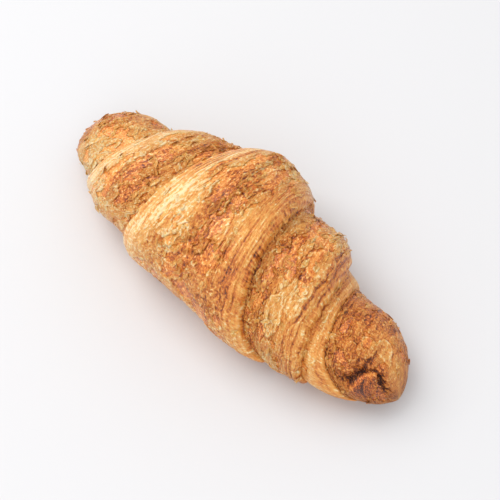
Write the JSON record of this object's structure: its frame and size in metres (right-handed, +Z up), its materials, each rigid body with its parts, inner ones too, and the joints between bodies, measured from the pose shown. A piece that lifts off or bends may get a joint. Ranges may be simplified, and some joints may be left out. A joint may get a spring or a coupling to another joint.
{
  "type": "croissant",
  "caption": "Straight butter croissant of rolled laminated dough, baked golden and flaky, lying flat on its underside with its wraps stepping down to both ends.",
  "frame": {"origin": "middle of the flat underside that the croissant rests on", "axes": "+X along the roll, towards the end with the open dark seam; +Y to the back, away from the side it is usually seen from; +Z up"},
  "size_m": [0.165, 0.0648, 0.0504],
  "materials": {
    "crust": "golden-brown flaky baked crust, satin with matt torn edges"
  },
  "bodies": {
    "root": {"croissant": "crust"}
  },
  "joints": []
}
